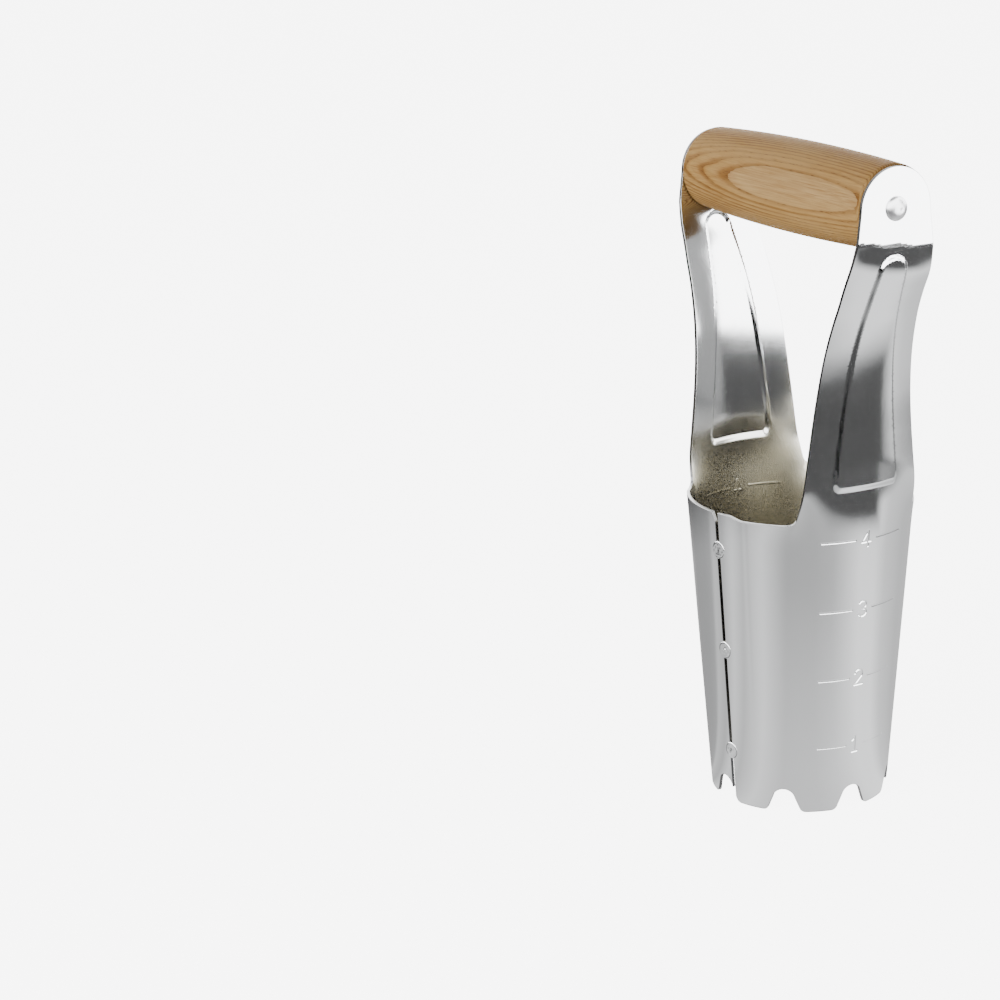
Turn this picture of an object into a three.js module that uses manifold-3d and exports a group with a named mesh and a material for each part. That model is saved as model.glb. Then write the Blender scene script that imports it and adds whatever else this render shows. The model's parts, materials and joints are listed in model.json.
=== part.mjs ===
// Hand bulb planter: one pressed and rolled steel blank (toothed tube, two arms, two ears),
// a turned ash grip between the ears, and one long rivet through ears and grip.
//
// Millimetres. +Z is up, the tooth tips stand on z = 0 and the tube axis is the Z axis.
// +X is the side of one ear, -Y is the side of the open butt seam.

import * as THREE from 'three';
import { mergeVertices } from 'three/addons/utils/BufferGeometryUtils.js';
import Module from 'manifold-3d';

const wasm = await Module();
wasm.setup();

// ---------- driving dimensions ----------

const INCH = 25.4;
const SHEET = 1.2;                 // thickness of the steel
const TIP_RADIUS = 31.2;           // outer radius at the tooth tips
const TAPER = 0.077;               // outer radius gained per mm of height
const RIM_HEIGHT = 106.9;          // top edge of the tube between the arms
const GRIP_HEIGHT = 215.3;         // height of the grip and rivet axis
const EAR_FACE = 52.9;             // from the middle plane to the outer face of an ear
const EAR_RADIUS = 13.8;
const FOLD_HEIGHT = 202.5;         // above this the arm is a flat, upright ear
const RADIAL_GAP = 0.3;            // clearance round the rivet
const FACE_GAP = 0.1;              // clearance between flat faces that meet

// One arm, as [height, value] stations, from the tube rim up to the ear.
const ARM_HALF_WIDTH = [
  [RIM_HEIGHT, 24.7], [124, 22.4], [150, 19.4], [176, 17.2], [196, 15.9], [GRIP_HEIGHT, EAR_RADIUS],
];
// Distance of the arm's edges from the middle plane.
const ARM_EDGE_REACH = [
  [RIM_HEIGHT, 34.6], [120, 35], [136, 35.6], [150, 36.7], [164, 39], [176, 42.5],
  [186, 46.7], [194, 50.5], [FOLD_HEIGHT, EAR_FACE],
];
// How far the middle of the arm stands out from its two edges.
const ARM_CROWN = [[RIM_HEIGHT, 3.5], [150, 2.9], [176, 1.8], [194, 0.8], [FOLD_HEIGHT, 0]];
const ROOT_FILLET = 3;             // corner between tube rim and arm edge
const ROUND_BELOW = 92;            // the tube is round below this
const FORMED_ABOVE = 119;          // the arm has its own section above this
const RIM_LIFT = 1.2;              // the rim stands higher by this round the seam
const LIFT_COMES = [65, 74];       // degrees clockwise from +X over which the lift comes in
const LIFT_GOES = [124, 134];

// The raised panel of each arm.
const PANEL_BOTTOM = 117.8;
const PANEL_BOTTOM_HALF_WIDTH = 13.8;
const PANEL_CORNER = 4.5;
const PANEL_SHOULDER = 194.1;      // height at which the round top begins
const PANEL_TOP_RADIUS = 5.9;
const PANEL_BEVEL = 2.2;           // at the panel's bottom
const PANEL_SIDE_BEVEL = 1.5;
const PANEL_RISE = 1.1;

// The lower rim.
const TOOTH_COUNT = 8;
const NOTCH_DEPTH = 8.6;
const NOTCH_HALF_WIDTH = 6;
const NOTCH_CROWN_RADIUS = 3.9;
const TOOTH_CORNER = 1.8;
const TOOTH_SLOPE = 0.6;           // how far a notch has narrowed at the top of that corner
const CROWN_START = 0.25;          // radians above its middle at which a notch's round top begins
const OVERSHOOT = 2;               // how far cutters reach past what they cut

// The butt seam and its tack welds.
const SEAM_ANGLE = -81.5;
const SEAM_WIDTH = 1.3;
const WELD_HEIGHTS = [19.5, 57.5, 93.5];
const WELD_RADIUS = 3.1;
const WELD_PROUD = 0.25;

// The depth scale: one pair of pressed lines per inch, on both sides.
const FIRST_LINE = 24.3;
const LINE_COUNT = 4;
const LINE_START = 6.5;            // degrees from the middle of the side
const LINE_END = 24.5;
const LINE_WIDTH = 0.9;
const LINE_DEPTH = 0.35;

// The grip and the rivet.
const GRIP_END_RADIUS = 14.4;
const GRIP_SWELL = 1.4;            // extra radius half way along the grip
const GRIP_EDGE = 1.2;             // rounding of the two end edges
const SHANK_RADIUS = 2.4;
const HEAD_RADIUS = 4.1;
const HEAD_HEIGHT = 1.7;

// ---------- small helpers ----------

// A smooth curve through [position, value] stations, constant beyond both ends.
function through(stations) {
  const slope = stations.map((station, i) => {
    const before = stations[Math.max(i - 1, 0)];
    const after = stations[Math.min(i + 1, stations.length - 1)];
    return (after[1] - before[1]) / (after[0] - before[0]);
  });
  return (position) => {
    const last = stations.length - 1;
    if (position <= stations[0][0]) return stations[0][1];
    if (position >= stations[last][0]) return stations[last][1];
    const i = stations.findIndex((station) => station[0] > position) - 1;
    const length = stations[i + 1][0] - stations[i][0];
    const t = (position - stations[i][0]) / length;
    const fromEnd = 1 - t;
    return stations[i][1] * (1 + 2 * t) * fromEnd * fromEnd
      + stations[i + 1][1] * (3 - 2 * t) * t * t
      + length * t * fromEnd * (slope[i] * fromEnd - slope[i + 1] * t);
  };
}

const halfWidth = through(ARM_HALF_WIDTH);
const edgeReach = through(ARM_EDGE_REACH);
const crown = through(ARM_CROWN);
const outerRadius = (height) => TIP_RADIUS + TAPER * height;

function asSolid(geometry) {
  const plain = geometry.clone();
  plain.deleteAttribute('normal');
  plain.deleteAttribute('uv');
  const merged = mergeVertices(plain, 1e-4);
  return new wasm.Manifold(new wasm.Mesh({
    numProp: 3,
    vertProperties: new Float32Array(merged.attributes.position.array),
    triVerts: new Uint32Array(merged.index.array),
  }));
}

function asGeometry(solid) {
  const mesh = solid.getMesh();
  const geometry = new THREE.BufferGeometry();
  geometry.setAttribute('position', new THREE.BufferAttribute(mesh.vertProperties, 3));
  geometry.setIndex(new THREE.BufferAttribute(mesh.triVerts, 1));
  geometry.computeVertexNormals();
  return geometry;
}

// Points a shape drawn in X (sideways) and Y (up), and extruded along Z, out from the tube axis.
function aimOutward(geometry, angle, height) {
  geometry.rotateX(Math.PI / 2);
  geometry.rotateZ(Math.PI / 2 + THREE.MathUtils.degToRad(angle));
  geometry.translate(0, 0, height);
  return geometry;
}

// ---------- the steel blank ----------

function panelHalfWidth(height) {
  const share = (height - PANEL_BOTTOM) / (PANEL_SHOULDER - PANEL_BOTTOM);
  return THREE.MathUtils.lerp(PANEL_BOTTOM_HALF_WIDTH, PANEL_TOP_RADIUS, share);
}

// Distance of a point of the arm inside the border of the raised panel, counted faster where the
// bevel is steeper.
function insidePanel(y, height) {
  const steeper = PANEL_BEVEL / PANEL_SIDE_BEVEL;
  if (height > PANEL_SHOULDER) {
    return steeper * (PANEL_TOP_RADIUS - Math.hypot(y, height - PANEL_SHOULDER));
  }
  const side = steeper * (panelHalfWidth(height) - Math.abs(y));
  const bottom = height - PANEL_BOTTOM;
  if (side < PANEL_CORNER && bottom < PANEL_CORNER) {
    return PANEL_CORNER - Math.hypot(PANEL_CORNER - side, PANEL_CORNER - bottom);
  }
  return Math.min(side, bottom);
}

// Distance from the middle plane to the outer surface, on an arm or on the tube below it. The
// round section of the tube passes into the flatter section of the arm, and the change dies out
// within ARM_MARGIN beyond the arm's edges.
const ARM_MARGIN = 9;

function reach(y, height) {
  const { smoothstep } = THREE.MathUtils;
  const half = halfWidth(height);
  const across = Math.min(Math.abs(y), half);
  const round = (distance) => Math.sqrt(outerRadius(height) ** 2 - distance ** 2);
  const arm = edgeReach(height) + crown(height) * (1 - (across / half) ** 2);
  const formed = smoothstep(height, ROUND_BELOW, FORMED_ABOVE)
    * (1 - smoothstep(Math.abs(y), half, half + ARM_MARGIN));
  const rise = PANEL_RISE * smoothstep(insidePanel(y, height), 0, PANEL_BEVEL);
  return round(y) + (arm - round(across)) * formed + rise;
}

// Columns of the blank, going round from one side of the seam to the other. A turned column has
// an angle. An arm column has a side and a share of the way from the arm's middle to the end of
// its margin; COLUMN_SHARES gives the shares of the bevel's two borders and of the arm's edge.
const ARM_SECTOR = THREE.MathUtils.radToDeg(
  Math.asin((halfWidth(RIM_HEIGHT) + ARM_MARGIN) / outerRadius(RIM_HEIGHT)));
const ARM_COLUMNS = 24;
const COLUMN_SHARES = [0, 3 / 12, 5 / 12, 8 / 12, 1];
const TURNED_STEP = 6;             // degrees

function turnedColumns(from, to) {
  const count = Math.round((to - from) / TURNED_STEP);
  return Array.from({ length: count + 1 }, (_, i) => ({ angle: from + (to - from) * i / count }));
}

function armColumns(side) {
  const inner = Array.from({ length: ARM_COLUMNS - 1 }, (_, i) => 2 * (i + 1) / ARM_COLUMNS - 1);
  return inner.map((share) => ({ side, share: share * side }));
}

function blankColumns() {
  const halfGap = THREE.MathUtils.radToDeg(SEAM_WIDTH / 2 / outerRadius(RIM_HEIGHT / 2));
  return [
    ...turnedColumns(SEAM_ANGLE + halfGap, -ARM_SECTOR),
    ...armColumns(1),
    ...turnedColumns(ARM_SECTOR, 180 - ARM_SECTOR),
    ...armColumns(-1),
    ...turnedColumns(180 + ARM_SECTOR, 360 + SEAM_ANGLE - halfGap),
  ];
}

// Rows of the blank: few on the straight tube, close together on the bevels and the fold.
function blankRows() {
  const evenly = (from, step, count) => Array.from({ length: count }, (_, i) => from + step * i);
  const tube = [-1, 42, ROUND_BELOW, 93, 100];
  const root = [RIM_HEIGHT, 111, 115, PANEL_BOTTOM, PANEL_BOTTOM + PANEL_BEVEL / 2];
  const arm = [PANEL_BOTTOM + PANEL_BEVEL, 122.5, ...evenly(127, 5, 12)];
  const fold = evenly(187, 2, 9);
  return [...tube, ...root, ...arm, ...fold, 205, 232];
}

function armY(share, height) {
  const across = Math.abs(share);
  const inner = panelHalfWidth(height) - PANEL_SIDE_BEVEL;
  const edge = halfWidth(height);
  const marks = [0, inner, inner + PANEL_SIDE_BEVEL, edge, edge + ARM_MARGIN];
  const i = COLUMN_SHARES.findIndex((end) => across <= end + 1e-9) - 1;
  if (i < 0) return 0;
  const t = (across - COLUMN_SHARES[i]) / (COLUMN_SHARES[i + 1] - COLUMN_SHARES[i]);
  return Math.sign(share) * THREE.MathUtils.lerp(marks[i], marks[i + 1], t);
}

// The outer surface of the whole blank at a column and a height.
function outerSurface(column, height) {
  const radius = outerRadius(height);
  if (column.angle !== undefined) {
    const angle = THREE.MathUtils.degToRad(column.angle);
    return new THREE.Vector3(radius * Math.cos(angle), radius * Math.sin(angle), height);
  }
  const above = Math.max(height, RIM_HEIGHT);
  const y = armY(column.share, above) * radius / outerRadius(above);
  return new THREE.Vector3(column.side * reach(y, height), y, height);
}

// Direction out of the sheet, found from the neighbouring columns and rows.
function outward(columns, rows, i, j) {
  const left = outerSurface(columns[Math.max(i - 1, 0)], rows[j]);
  const right = outerSurface(columns[Math.min(i + 1, columns.length - 1)], rows[j]);
  const below = outerSurface(columns[i], rows[Math.max(j - 1, 0)]);
  const above = outerSurface(columns[i], rows[Math.min(j + 1, rows.length - 1)]);
  return right.sub(left).cross(above.sub(below)).normalize();
}

// A flat strip of sheet, bent so that each of its vertices lands on the blank's surface.
function wrappedBlank() {
  const columns = blankColumns();
  const rows = blankRows();
  const strip = new THREE.BoxGeometry(1, 1, 1, columns.length - 1, rows.length - 1, 1);
  const position = strip.attributes.position;
  for (let n = 0; n < position.count; n += 1) {
    const i = Math.round((position.getX(n) + 0.5) * (columns.length - 1));
    const j = Math.round((position.getY(n) + 0.5) * (rows.length - 1));
    const place = outerSurface(columns[i], rows[j]);
    if (position.getZ(n) < 0) place.addScaledVector(outward(columns, rows, i, j), -SHEET);
    position.setXYZ(n, place.x, place.y, place.z);
  }
  return strip;
}

// What is kept of the blank, seen along X: the tube's height, then the two tapering arm edges
// with a fillet at the root, and the round top of the ear.
function sideOutline() {
  const reach = outerRadius(RIM_HEIGHT) + OVERSHOOT;
  const outside = halfWidth(RIM_HEIGHT) + ROOT_FILLET;
  const outline = new THREE.Shape();
  outline.moveTo(reach, 0);
  outline.lineTo(reach, RIM_HEIGHT);
  outline.lineTo(outside, RIM_HEIGHT);
  const rootTop = RIM_HEIGHT + ROOT_FILLET;
  outline.quadraticCurveTo(halfWidth(rootTop), RIM_HEIGHT, halfWidth(rootTop), rootTop);
  const heights = [118, 126, 138, 150, 163, 176, 188, 200, 208];
  heights.forEach((height) => outline.lineTo(halfWidth(height), height));
  outline.absarc(0, GRIP_HEIGHT, EAR_RADIUS, 0, Math.PI, false);
  heights.reverse().forEach((height) => outline.lineTo(-halfWidth(height), height));
  outline.lineTo(-halfWidth(rootTop), rootTop);
  outline.quadraticCurveTo(-halfWidth(rootTop), RIM_HEIGHT, -outside, RIM_HEIGHT);
  outline.lineTo(-reach, RIM_HEIGHT);
  outline.lineTo(-reach, 0);
  outline.closePath();
  return outline;
}

function sideKeeper() {
  const reach = EAR_FACE + OVERSHOOT;
  const keeper = new THREE.ExtrudeGeometry(sideOutline(), {
    depth: 2 * reach, bevelEnabled: false, curveSegments: 10,
  });
  keeper.translate(0, 0, -reach);
  keeper.rotateX(Math.PI / 2);
  keeper.rotateZ(Math.PI / 2);
  return keeper;
}

// One notch between two teeth: round at the top, sloping sides, rounded tooth corners.
function notchCutter(angle) {
  const crownHeight = NOTCH_DEPTH - NOTCH_CROWN_RADIUS;
  const outline = new THREE.Shape();
  outline.moveTo(-NOTCH_HALF_WIDTH - TOOTH_CORNER, -OVERSHOOT);
  outline.lineTo(NOTCH_HALF_WIDTH + TOOTH_CORNER, -OVERSHOOT);
  outline.lineTo(NOTCH_HALF_WIDTH + TOOTH_CORNER, 0);
  outline.quadraticCurveTo(NOTCH_HALF_WIDTH, 0, NOTCH_HALF_WIDTH - TOOTH_SLOPE, TOOTH_CORNER);
  outline.absarc(0, crownHeight, NOTCH_CROWN_RADIUS, CROWN_START, Math.PI - CROWN_START, false);
  outline.lineTo(TOOTH_SLOPE - NOTCH_HALF_WIDTH, TOOTH_CORNER);
  outline.quadraticCurveTo(-NOTCH_HALF_WIDTH, 0, -NOTCH_HALF_WIDTH - TOOTH_CORNER, 0);
  outline.closePath();
  const depth = 2 * NOTCH_HALF_WIDTH + TAPER * NOTCH_DEPTH;
  const cutter = new THREE.ExtrudeGeometry(outline, { depth, bevelEnabled: false, curveSegments: 6 });
  cutter.translate(0, 0, TIP_RADIUS - depth / 2);
  return aimOutward(cutter, angle, 0);
}

// The pressed line of the scale on one side of its numeral: a shallow arc in the outer surface.
function scaleLine(middle, height) {
  const radius = outerRadius(height);
  const start = THREE.MathUtils.degToRad(middle - (LINE_END - LINE_START) / 2);
  const end = THREE.MathUtils.degToRad(middle + (LINE_END - LINE_START) / 2);
  const outline = new THREE.Shape();
  outline.absarc(0, 0, radius + OVERSHOOT, start, end, false);
  outline.absarc(0, 0, radius - LINE_DEPTH, end, start, true);
  outline.closePath();
  const line = new THREE.ExtrudeGeometry(outline, { depth: LINE_WIDTH, bevelEnabled: false, curveSegments: 4 });
  line.translate(0, 0, height - LINE_WIDTH / 2);
  return line;
}

// A tack weld: a low round button that bridges the seam through the whole sheet.
function tackWeld(height) {
  const weld = new THREE.CylinderGeometry(WELD_RADIUS, WELD_RADIUS, SHEET + WELD_PROUD, 20);
  weld.rotateX(Math.PI / 2);
  weld.translate(0, 0, outerRadius(height) + WELD_PROUD - (SHEET + WELD_PROUD) / 2);
  return aimOutward(weld, SEAM_ANGLE, height);
}

// The rim beside the seam stands a little higher than the rest of it.
function liftRim(geometry) {
  const { radToDeg, smoothstep } = THREE.MathUtils;
  const position = geometry.attributes.position;
  for (let n = 0; n < position.count; n += 1) {
    const clockwise = -radToDeg(Math.atan2(position.getY(n), position.getX(n)));
    const beside = smoothstep(clockwise, ...LIFT_COMES) * (1 - smoothstep(clockwise, ...LIFT_GOES));
    const upper = smoothstep(position.getZ(n), RIM_HEIGHT / 2, RIM_HEIGHT);
    position.setZ(n, position.getZ(n) + RIM_LIFT * beside * upper);
  }
  return geometry;
}

function planterBody() {
  let body = asSolid(wrappedBlank()).intersect(asSolid(sideKeeper()));
  for (let tooth = 0; tooth < TOOTH_COUNT; tooth += 1) {
    body = body.subtract(asSolid(notchCutter(tooth * 360 / TOOTH_COUNT)));
  }
  for (let line = 0; line < LINE_COUNT; line += 1) {
    for (const side of [0, 180]) {
      for (const direction of [-1, 1]) {
        const middle = side + direction * (LINE_START + LINE_END) / 2;
        body = body.subtract(asSolid(scaleLine(middle, FIRST_LINE + line * INCH)));
      }
    }
  }
  for (const height of WELD_HEIGHTS) body = body.add(asSolid(tackWeld(height)));
  const rivetHole = new THREE.CylinderGeometry(
    SHANK_RADIUS + RADIAL_GAP, SHANK_RADIUS + RADIAL_GAP, 2 * (EAR_FACE + OVERSHOOT), 24);
  rivetHole.rotateZ(Math.PI / 2);
  rivetHole.translate(0, 0, GRIP_HEIGHT);
  return liftRim(asGeometry(body.subtract(asSolid(rivetHole))));
}

// ---------- the grip and the rivet, turned about X ----------

function turnedAboutX(profile, segments) {
  const geometry = new THREE.LatheGeometry(profile, segments);
  geometry.rotateZ(-Math.PI / 2);
  return geometry;
}

function woodenGrip() {
  const halfLength = EAR_FACE - SHEET - FACE_GAP;
  const bore = SHANK_RADIUS + RADIAL_GAP;
  const swell = (along) => GRIP_END_RADIUS + GRIP_SWELL * (1 - (along / halfLength) ** 2);
  const steps = 14;
  const profile = [new THREE.Vector2(bore, -halfLength)];
  profile.push(new THREE.Vector2(GRIP_END_RADIUS - GRIP_EDGE, -halfLength));
  for (let i = 0; i <= steps; i += 1) {
    const along = THREE.MathUtils.lerp(GRIP_EDGE - halfLength, halfLength - GRIP_EDGE, i / steps);
    profile.push(new THREE.Vector2(swell(along), along));
  }
  profile.push(new THREE.Vector2(GRIP_END_RADIUS - GRIP_EDGE, halfLength));
  profile.push(new THREE.Vector2(bore, halfLength), new THREE.Vector2(bore, -halfLength));
  return turnedAboutX(profile, 40);
}

function throughRivet() {
  const seat = EAR_FACE + FACE_GAP;
  const steps = 5;
  const head = Array.from({ length: steps }, (_, i) => {
    const angle = i * Math.PI / 2 / steps;
    return [HEAD_RADIUS * Math.cos(angle), seat + HEAD_HEIGHT * Math.sin(angle)];
  });
  const half = [[SHANK_RADIUS, seat], ...head, [0, seat + HEAD_HEIGHT]];
  const lower = half.map(([radius, along]) => new THREE.Vector2(radius, -along)).reverse();
  const upper = half.map(([radius, along]) => new THREE.Vector2(radius, along));
  return turnedAboutX([...lower, ...upper], 24);
}

// ---------- the assembly ----------

function piece(name, geometry, look, height = 0) {
  const mesh = new THREE.Mesh(geometry, new THREE.MeshStandardMaterial(look));
  mesh.name = name;
  mesh.position.z = height;
  return mesh;
}

const steelLook = { color: 0xb9bcbe, roughness: 0.22, metalness: 1 };
const rivetLook = { color: 0xa6a6a8, roughness: 0.35, metalness: 1 };
const woodLook = { color: 0xc39a63, roughness: 0.55, metalness: 0 };

const bulbPlanter = new THREE.Group();
bulbPlanter.add(piece('planter_body', planterBody(), steelLook));
bulbPlanter.add(piece('wooden_grip', woodenGrip(), woodLook, GRIP_HEIGHT));
bulbPlanter.add(piece('through_rivet', throughRivet(), rivetLook, GRIP_HEIGHT));

export default bulbPlanter;
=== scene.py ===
"""Bulb planter: the looks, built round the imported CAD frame.

Lengths are in millimetres where the sheet is worked out, and in metres in Blender.
"""
import json
import math

import bmesh
import bpy
import numpy as np
from mathutils import Matrix, Vector
from mathutils.geometry import delaunay_2d_cdt
from mathutils.kdtree import KDTree


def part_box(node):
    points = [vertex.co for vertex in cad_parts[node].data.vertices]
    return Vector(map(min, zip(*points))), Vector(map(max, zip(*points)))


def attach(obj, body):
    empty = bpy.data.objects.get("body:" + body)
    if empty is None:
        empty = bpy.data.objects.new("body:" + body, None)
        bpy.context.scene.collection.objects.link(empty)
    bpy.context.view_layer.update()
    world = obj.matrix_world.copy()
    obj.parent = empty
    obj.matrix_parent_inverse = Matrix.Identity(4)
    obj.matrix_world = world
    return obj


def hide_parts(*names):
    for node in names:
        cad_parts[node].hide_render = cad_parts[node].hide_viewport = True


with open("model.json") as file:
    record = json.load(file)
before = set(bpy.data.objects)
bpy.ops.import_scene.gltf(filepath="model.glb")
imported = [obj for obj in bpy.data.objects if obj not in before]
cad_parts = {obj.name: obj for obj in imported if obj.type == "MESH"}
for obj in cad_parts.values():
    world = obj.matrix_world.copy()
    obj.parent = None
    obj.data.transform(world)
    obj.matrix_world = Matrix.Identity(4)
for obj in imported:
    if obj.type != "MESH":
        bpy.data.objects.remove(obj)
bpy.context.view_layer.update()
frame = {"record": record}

MM = 0.001
INCH = 25.4

# ---------- places and sizes that the frame gives, in mm ----------

mounts = {mount["name"]: mount for mount in frame["record"]["mounts"]}
grip_low, grip_high = (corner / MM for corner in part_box("wooden_grip"))
rivet_low, rivet_high = (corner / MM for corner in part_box("through_rivet"))
body_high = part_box("planter_body")[1] / MM

EAR_FACE = mounts["right_ear_face"]["pos_m"][0] / MM
GRIP_HEIGHT = (grip_low.z + grip_high.z) / 2
EAR_RADIUS = body_high.z - GRIP_HEIGHT
GRIP_HALF = grip_high.x
GRIP_RADIUS = (grip_high.y - grip_low.y) / 2
HEAD_RADIUS = (rivet_high.y - rivet_low.y) / 2
HEAD_TIP = rivet_high.x

# ---------- the design of the sheet, in mm ----------

SHEET = 1.2
TIP_RADIUS = 31.2
TAPER = 0.077
RIM = 106.9
RIM_RADIUS = TIP_RADIUS + TAPER * RIM
FOLD = 202.5
FOLD_ROUND = 0.7

HALF_WIDTH = [(RIM, 24.7), (124, 22.4), (150, 19.4), (176, 17.2), (196, 15.9),
              (GRIP_HEIGHT, EAR_RADIUS)]
EDGE_REACH = [(RIM, 34.6), (120, 35), (136, 35.6), (150, 36.7), (164, 39), (176, 42.5),
              (186, 46.7), (194, 50.5), (FOLD, EAR_FACE)]
CROWN = [(RIM, 3.5), (150, 2.9), (176, 1.8), (194, 0.8), (FOLD, 0)]
ARM_MARGIN = 9
ROUND_BELOW = 93.5               # the arms grow out of the round tube between these heights
FORMED_ABOVE = 121
SLOWER_MIDDLE = 9                # the middle of an arm is formed this much higher up than its edges
ROOT_FILLET = 3
RIM_LIFT = 1.2                   # the rim stands this much higher beside the seam
LIFT_COMES = (65, 74)            # degrees clockwise from +X
LIFT_GOES = (124, 134)
FOLD_SLANT = 0.118               # the fold drops this much per mm across the arm
FOLD_SHIFT = 0.6
SLANT_COMES = (180, 197)
FOLD_WAVE = 0.35                 # height of its waves
FOLD_WAVE_RATE = 0.5             # radians per mm
FOLD_WAVE_REACH = 2.5            # how far above and below the fold the waves go

PANEL_BOTTOM = 117.8
PANEL_BOTTOM_HALF_WIDTH = 13.8
PANEL_CORNER = 4.5
PANEL_SHOULDER = 194.1
PANEL_TOP_RADIUS = 5.9
PANEL_BEVEL = 2.2                # at the panel's bottom
PANEL_SIDE_BEVEL = 1.5           # at its sides and top
PANEL_RISE = 1.1

NOTCH_DEPTH = 8.6
NOTCH_HALF_WIDTH = 6
NOTCH_CROWN_RADIUS = 3.9
CROWN_END = 14                   # degrees above level, where the crown's arc ends
TOOTH_CORNER = 1.8
TOOTH_SLOPE = 0.6
TOOTH_PITCH = math.radians(45)

SEAM = math.radians(-81.5)
SEAM_WIDTH = 1.3
SEAM_CHAMFER = (1.6, 3.4)        # the left flap's top corner: along the rim, down the seam
CREASE = math.radians(-63.5)     # a faint line left by the rolling, from the rim down
CREASE_DEPTH = 0.035
CREASE_HALF_WIDTH = 0.85
CREASE_FADES = (10, 80)          # heights
WELD_HEIGHTS = (19.5, 57.5, 93.5)
WELD_RADIUS = 3.1

FIRST_LINE = 24.3
LINE_START = math.radians(6.5)
LINE_END = math.radians(24.5)
DIGIT_DEPTH = 0.24
LINE_DEPTH = 0.1
SHALLOWER = 0.85                 # the lines on the numerals' right, as a share of that depth
MARK_HALF_WIDTH = 0.5
SHOWS_INSIDE = 0.4               # share of a mark's depth that stands out on the inside
DIGIT_HEIGHT = 5.6
DIGIT_WIDTH = 3.6

EDGE_ROUND = 0.2                 # rounding of the sheet's cut edges
RIM_EDGE_DARK = 0.86                  # share of near-black on the cut edge below, painted shade on its uncoated steel; it is fully near-black up the arms
EDGE_FULLY_DARK = (108, 116)
COARSE = 1.5                     # spacing of the mesh's points on plain sheet
MIDDLE = 0.6                     # on bevels and the fold
FINE = 0.21                      # on the pressed marks


def smoothstep(value, low, high):
    t = np.clip((value - low) / (high - low), 0, 1)
    return t * t * (3 - 2 * t)


def through(stations):
    """A smooth curve through (position, value) stations, constant beyond both ends."""
    at, value = (np.array(column, float) for column in zip(*stations))
    left = np.maximum(np.arange(len(at)) - 1, 0)
    right = np.minimum(np.arange(len(at)) + 1, len(at) - 1)
    slope = (value[right] - value[left]) / (at[right] - at[left])

    def curve(position):
        position = np.clip(position, at[0], at[-1])
        i = np.clip(np.searchsorted(at, position, side="right") - 1, 0, len(at) - 2)
        length = at[i + 1] - at[i]
        t = (position - at[i]) / length
        return (value[i] * (1 + 2 * t) * (1 - t) ** 2 + value[i + 1] * (3 - 2 * t) * t ** 2
                + length * t * (1 - t) * (slope[i] * (1 - t) - slope[i + 1] * t))

    return curve


half_width = through(HALF_WIDTH)
sharp_edge_reach = through(EDGE_REACH)
crown = through(CROWN)


def edge_reach(height):
    """Distance of an arm's edges from the middle plane, with the fold's bend rounded a little."""
    return sum(sharp_edge_reach(height + step) for step in (-FOLD_ROUND, 0, FOLD_ROUND)) / 3


def outer_radius(height):
    return TIP_RADIUS + TAPER * height


# ---------- the sheet's surface: a place is a turn about Z, in radians, and a height ----------

def inside_panel(y, height):
    """Distance inside the border of an arm's raised panel, counted faster where it is steeper."""
    steeper = PANEL_BEVEL / PANEL_SIDE_BEVEL
    share = (height - PANEL_BOTTOM) / (PANEL_SHOULDER - PANEL_BOTTOM)
    border = PANEL_BOTTOM_HALF_WIDTH + (PANEL_TOP_RADIUS - PANEL_BOTTOM_HALF_WIDTH) * share
    side = (border - np.abs(y)) * steeper
    bottom = height - PANEL_BOTTOM
    corner = PANEL_CORNER - np.hypot(PANEL_CORNER - side, PANEL_CORNER - bottom)
    in_corner = (side < PANEL_CORNER) & (bottom < PANEL_CORNER)
    low = np.where(in_corner, corner, np.minimum(side, bottom))
    top = steeper * (PANEL_TOP_RADIUS - np.hypot(y, height - PANEL_SHOULDER))
    return np.where(height > PANEL_SHOULDER, top, low)


def reach(y, height):
    """Distance from the middle plane to the outer surface.

    The fold under the ear was bent by hand: it runs a little aslant and is slightly wavy."""
    half = half_width(height)
    across = np.minimum(np.abs(y), half)

    def round_section(distance):
        return np.sqrt(np.maximum(outer_radius(height) ** 2 - distance ** 2, 0))

    slant = smoothstep(height, *SLANT_COMES) * (FOLD_SHIFT - FOLD_SLANT * y)
    waves = FOLD_WAVE * np.sin(FOLD_WAVE_RATE * y + 0.8)
    bent = height - slant - waves * np.exp(-((height - FOLD) / FOLD_WAVE_REACH) ** 2)
    arm = edge_reach(bent) + crown(bent) * (1 - (across / half) ** 2)
    formed_above = FORMED_ABOVE + SLOWER_MIDDLE * (1 - (across / half) ** 2)
    formed = smoothstep(height, ROUND_BELOW, formed_above) ** 2
    formed = formed * (1 - smoothstep(np.abs(y), half, half + ARM_MARGIN))
    rise = PANEL_RISE * smoothstep(inside_panel(y, height), 0, PANEL_BEVEL)
    return round_section(y) + (arm - round_section(across)) * formed + rise


def plain_surface(turn, height):
    """The outer surface without the pressed marks."""
    y = outer_radius(np.minimum(height, RIM)) * np.sin(turn)
    side = np.where(np.cos(turn) >= 0, 1.0, -1.0)
    clockwise = -np.degrees((turn + math.pi) % (2 * math.pi) - math.pi)
    beside = smoothstep(clockwise, *LIFT_COMES) * (1 - smoothstep(clockwise, *LIFT_GOES))
    lift = RIM_LIFT * beside * smoothstep(height, RIM / 2, RIM)
    return np.stack([side * reach(y, height), y, height + lift], -1)


def unit(vectors):
    return vectors / np.linalg.norm(vectors, axis=-1, keepdims=True)


def normals_of(surface, turn, height):
    """Outward normals, from small steps to both sides."""
    step = 0.02
    turn_step = step / RIM_RADIUS
    along = surface(turn + turn_step, height) - surface(turn - turn_step, height)
    up = surface(turn, height + step) - surface(turn, height - step)
    return unit(np.cross(along, up))


def arc(cx, cy, rx, ry, start, end, steps=10):
    """Points of an elliptical arc, with angles in degrees."""
    angles = np.radians(np.linspace(start, end, steps))
    return [(cx + rx * math.cos(a), cy + ry * math.sin(a)) for a in angles]


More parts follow.
